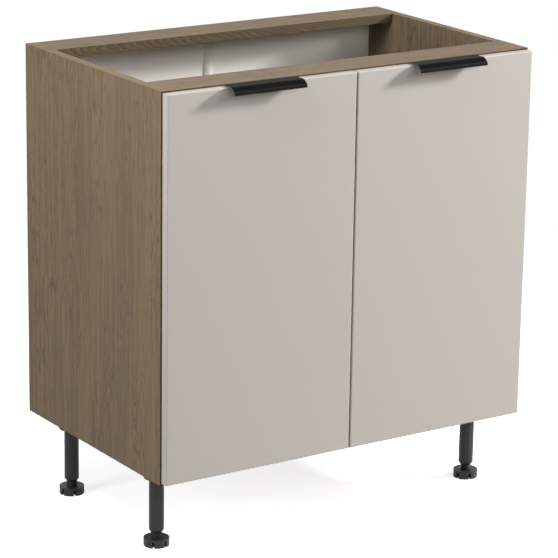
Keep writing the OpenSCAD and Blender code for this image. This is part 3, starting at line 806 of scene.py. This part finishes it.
@dataclass
class Door:
    """One door with its handle, buffers and hinges.

    Attributes:
        side: The hand it hangs on.
        pieces: The finish of each of its pieces, by the end of the piece's name.
    """

    side: Side
    pieces: Mapping[Finish, Sequence[str]] = field(default_factory=lambda: {
        CASHMERE: ("door",), BLACK: ("handle", "handle_screws"), BUFFER: ("door_buffers",),
        NICKEL: ("hinge_cups", "cup_screws", "inner_links", "outer_links", "hinge_arms", "hinge_plates",
                 "plate_screws"),
        ZINC: ("cup_pins", "arm_pins", "arm_screws")})

    def build(self) -> None:
        """Dresses the door and what is screwed to it."""
        for finish, ends in self.pieces.items():
            dress(finish, *(f"{self.side.value}_{end}" for end in ends))


@dataclass
class Leg:
    """One screw leg.

    Attributes:
        corner: Its corner, as in the node names.
    """

    corner: str

    def build(self) -> None:
        """Dresses the leg; the thread is centred on the middle of its foot."""
        foot = f"{self.corner}_foot"
        points = [vertex.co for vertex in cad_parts[foot].data.vertices]
        middle = tuple((min(point[axis] for point in points) + max(point[axis] for point in points)) / 2
                       for axis in (0, 1))
        dress(LEG, f"{self.corner}_leg_collar", f"{self.corner}_leg_tube")
        dress(ScrewFoot(f"{foot}_moulding", axis=middle), foot)


@dataclass
class Fittings:
    """The loose fittings inside the body."""

    def build(self) -> None:
        """Dresses the fittings."""
        dress(ZINC, "cam_locks", "cam_bolts", "leg_screws")
        dress(NICKEL, "shelf_pins")
        dress(BEECH, "dowels")


def compass(turn: float, rise: float) -> Vector:
    """Direction of unit length.

    Args:
        turn: Its turn from +Y towards +X, in degrees.
        rise: How far it points above the level, in degrees.

    Returns:
        The direction.
    """
    turn, rise = math.radians(turn), math.radians(rise)
    return Vector((math.sin(turn) * math.cos(rise), math.cos(turn) * math.cos(rise), math.sin(rise)))


@dataclass(frozen=True)
class Lamp:
    """A soft square lamp.

    Attributes:
        name: What it is called.
        turn: Where it hangs, from the front towards the right, in degrees.
        height: How far above the level it hangs, in degrees.
        distance: How far it is from its target, in metres.
        size: Its width.
        power: Its power in watts.
        target: The point it is aimed at, by default in the middle of the cabinet.
    """

    name: str
    turn: float
    height: float
    distance: float
    size: float
    power: float
    target: tuple[float, float, float] = (0.0, -0.1, 0.55)

    def hang(self) -> None:
        """Puts the lamp in the scene."""
        away = compass(180.0 - self.turn, self.height)
        data = bpy.data.lights.new(self.name, "AREA")
        data.size = self.size
        data.energy = self.power
        lamp = bpy.data.objects.new(self.name, data)
        place = Matrix.Translation(Vector(self.target) + away * self.distance)
        lamp.matrix_world = place @ (-away).to_track_quat("-Z", "Y").to_matrix().to_4x4()
        bpy.context.scene.collection.objects.link(lamp)


@dataclass
class Studio:
    """White floor and surroundings, soft lights and the camera.

    Attributes:
        eye: Where the camera stands.
        turn: Turn of its view from +Y towards +X, in degrees.
        tilt: How far it looks down, in degrees.
        roll: Its roll, in degrees.
        lens: Focal length for a 36 mm sensor, in millimetres.
        floor_size: Width of the floor.
        floor_glow: How much the floor shines by itself near the cabinet.
        floor_grey: How light the floor is, 0 to 1, to the camera and where it throws light on the cabinet.
        floor_fade: Distances from the middle between which the floor turns to pure white.
        lamps: The lamps.
    """

    eye: tuple[float, float, float] = (-2.759, -4.158, 1.852)
    turn: float = 33.56
    tilt: float = 16.0
    roll: float = 0.88
    lens: float = 175.7
    floor_size: float = 60.0
    floor_glow: float = 0.72
    floor_grey: tuple[float, float] = (0.92, 0.3)
    floor_fade: tuple[float, float] = (0.9, 2.2)
    lamps: Sequence[Lamp] = (
        Lamp("key_light", turn=69.5, height=23.6, distance=5.0, size=0.75, power=378.0),
        Lamp("front_right_fill", turn=35.0, height=28.0, distance=5.0, size=1.2, power=46.0),
        Lamp("front_fill", turn=0.0, height=22.0, distance=5.0, size=2.0, power=42.0),
        Lamp("left_high_fill", turn=-80.0, height=54.0, distance=1.3, size=0.6, power=12.0,
             target=(-0.4, -0.22, 0.78)),
        Lamp("left_low_fill", turn=-90.0, height=16.0, distance=3.2, size=1.0, power=32.0),
        Lamp("back_fill", turn=182.0, height=6.0, distance=5.0, size=1.0, power=95.0))

    def build(self) -> None:
        """Makes the camera, the floor, the world and the lamps, and sets how colours are shown."""
        self._camera()
        self._floor()
        self._world()
        for lamp in self.lamps:
            lamp.hang()
        bpy.context.scene.view_settings.view_transform = "Standard"

    def _camera(self) -> None:
        """Sets up the camera at the photograph's angle."""
        roll = math.radians(self.roll)
        ahead = compass(self.turn, -self.tilt)
        level = compass(self.turn + 90.0, 0.0)
        upward = level.cross(ahead)
        right = math.cos(roll) * level + math.sin(roll) * upward
        top = math.cos(roll) * upward - math.sin(roll) * level
        data = bpy.data.cameras.new("camera")
        data.lens = self.lens
        camera = bpy.data.objects.new("camera", data)
        axes = Matrix((right, top, -ahead)).transposed()
        camera.matrix_world = Matrix.Translation(self.eye) @ axes.to_4x4()
        bpy.context.scene.collection.objects.link(camera)
        bpy.context.scene.camera = camera

    def _floor(self) -> None:
        """Lays the floor, white to the camera and plain to the rest."""
        half = self.floor_size / 2
        corners = [(-half, -half, 0), (half, -half, 0), (half, half, 0), (-half, half, 0)]
        mesh = bpy.data.meshes.new("floor")
        mesh.from_pydata(corners, [], [(0, 1, 2, 3)])
        floor = bpy.data.objects.new("floor", mesh)
        bpy.context.scene.collection.objects.link(floor)
        material = bpy.data.materials.new("floor_white")
        material.use_nodes = True
        graph = Graph(material.node_tree)
        seen_grey, cast_grey = self.floor_grey
        cast = graph.signal("ShaderNodeBsdfDiffuse", None, {"Color": (cast_grey, cast_grey, cast_grey, 1)})
        pale = graph.signal("ShaderNodeBsdfDiffuse", None, {"Color": (seen_grey, seen_grey, seen_grey, 1)})
        glow = graph.signal("ShaderNodeEmission", None, {"Color": WHITE, "Strength": self.floor_glow})
        far = graph.signal("ShaderNodeEmission", None, {"Color": WHITE, "Strength": 1.0})
        near = graph.signal("ShaderNodeAddShader", None, {0: pale, 1: glow})
        distance = graph.signal("ShaderNodeVectorMath", {"operation": "LENGTH"}, {0: graph.object_place()},
                                output="Value")
        fade = graph.ease(distance, *self.floor_fade)
        lit = graph.signal("ShaderNodeMixShader", None, {0: fade, 1: near, 2: far})
        graph.output(graph.signal("ShaderNodeMixShader", None, {0: self._seen(graph), 1: cast, 2: lit}))
        mesh.materials.append(material)

    @staticmethod
    def _seen(graph: Graph) -> Signal:
        """Tells what the camera sees from what throws light.

        Args:
            graph: The tree it is used in.

        Returns:
            1 for what is seen straight, in a reflection or through a clear piece, and 0 for the rest.
        """
        path = graph.node("ShaderNodeLightPath")
        straight, mirrored, through = (Signal(graph, path.outputs[f"Is {kind} Ray"])
                                       for kind in ("Camera", "Glossy", "Transmission"))
        return graph.math("MAXIMUM", graph.math("MAXIMUM", straight, mirrored), through)

    def _world(self) -> None:
        """Makes the surroundings, white to the camera and dark to the rest."""
        world = bpy.data.worlds.new("studio")
        world.use_nodes = True
        bpy.context.scene.world = world
        graph = Graph(world.node_tree)
        glow = graph.signal("ShaderNodeBackground", None, {"Color": WHITE, "Strength": self._seen(graph)})
        graph.output(glow, "ShaderNodeOutputWorld")


def main() -> None:
    """Builds the cabinet's looks and the studio around it."""
    logging.basicConfig(level=logging.INFO, format="%(message)s")
    Studio().build()
    Body().build()
    Back().build()
    for side in Side:
        Door(side).build()
    for corner in CORNERS:
        Leg(corner).build()
    Fittings().build()


if __name__ == "__main__":
    main()
